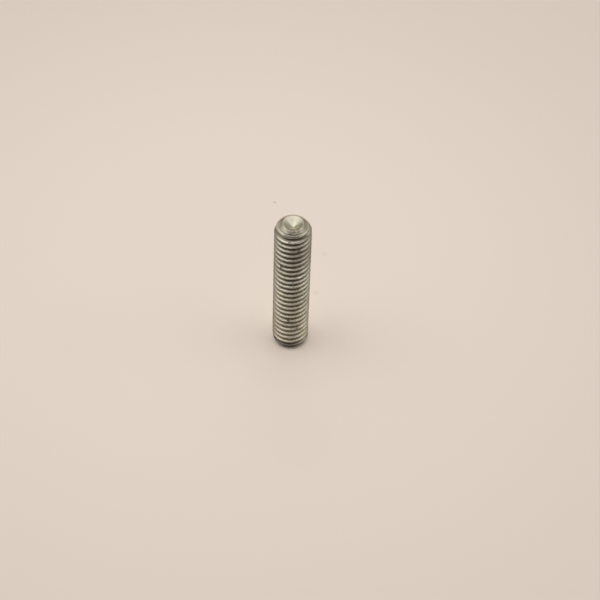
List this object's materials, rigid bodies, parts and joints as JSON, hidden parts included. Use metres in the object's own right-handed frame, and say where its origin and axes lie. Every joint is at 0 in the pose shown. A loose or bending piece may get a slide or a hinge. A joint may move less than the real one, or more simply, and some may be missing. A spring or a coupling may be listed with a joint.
{
  "type": "threaded stud",
  "caption": "Short round steel stud with a right-hand thread from end to end, a chamfered flat face at one end and a tapered, chamfered point with a conical cup at the other.",
  "frame": {"origin": "centre of the flat end face that the stud stands on", "axes": "+Z along the stud's axis, from the flat face to the cupped end; X and Y across it"},
  "size_m": [0.0059, 0.0058, 0.0264],
  "materials": {
    "plated_steel": "zinc plated, satin, with a warm grey tint and darker grooves"
  },
  "bodies": {
    "root": {"stud": "plated_steel"}
  },
  "joints": []
}
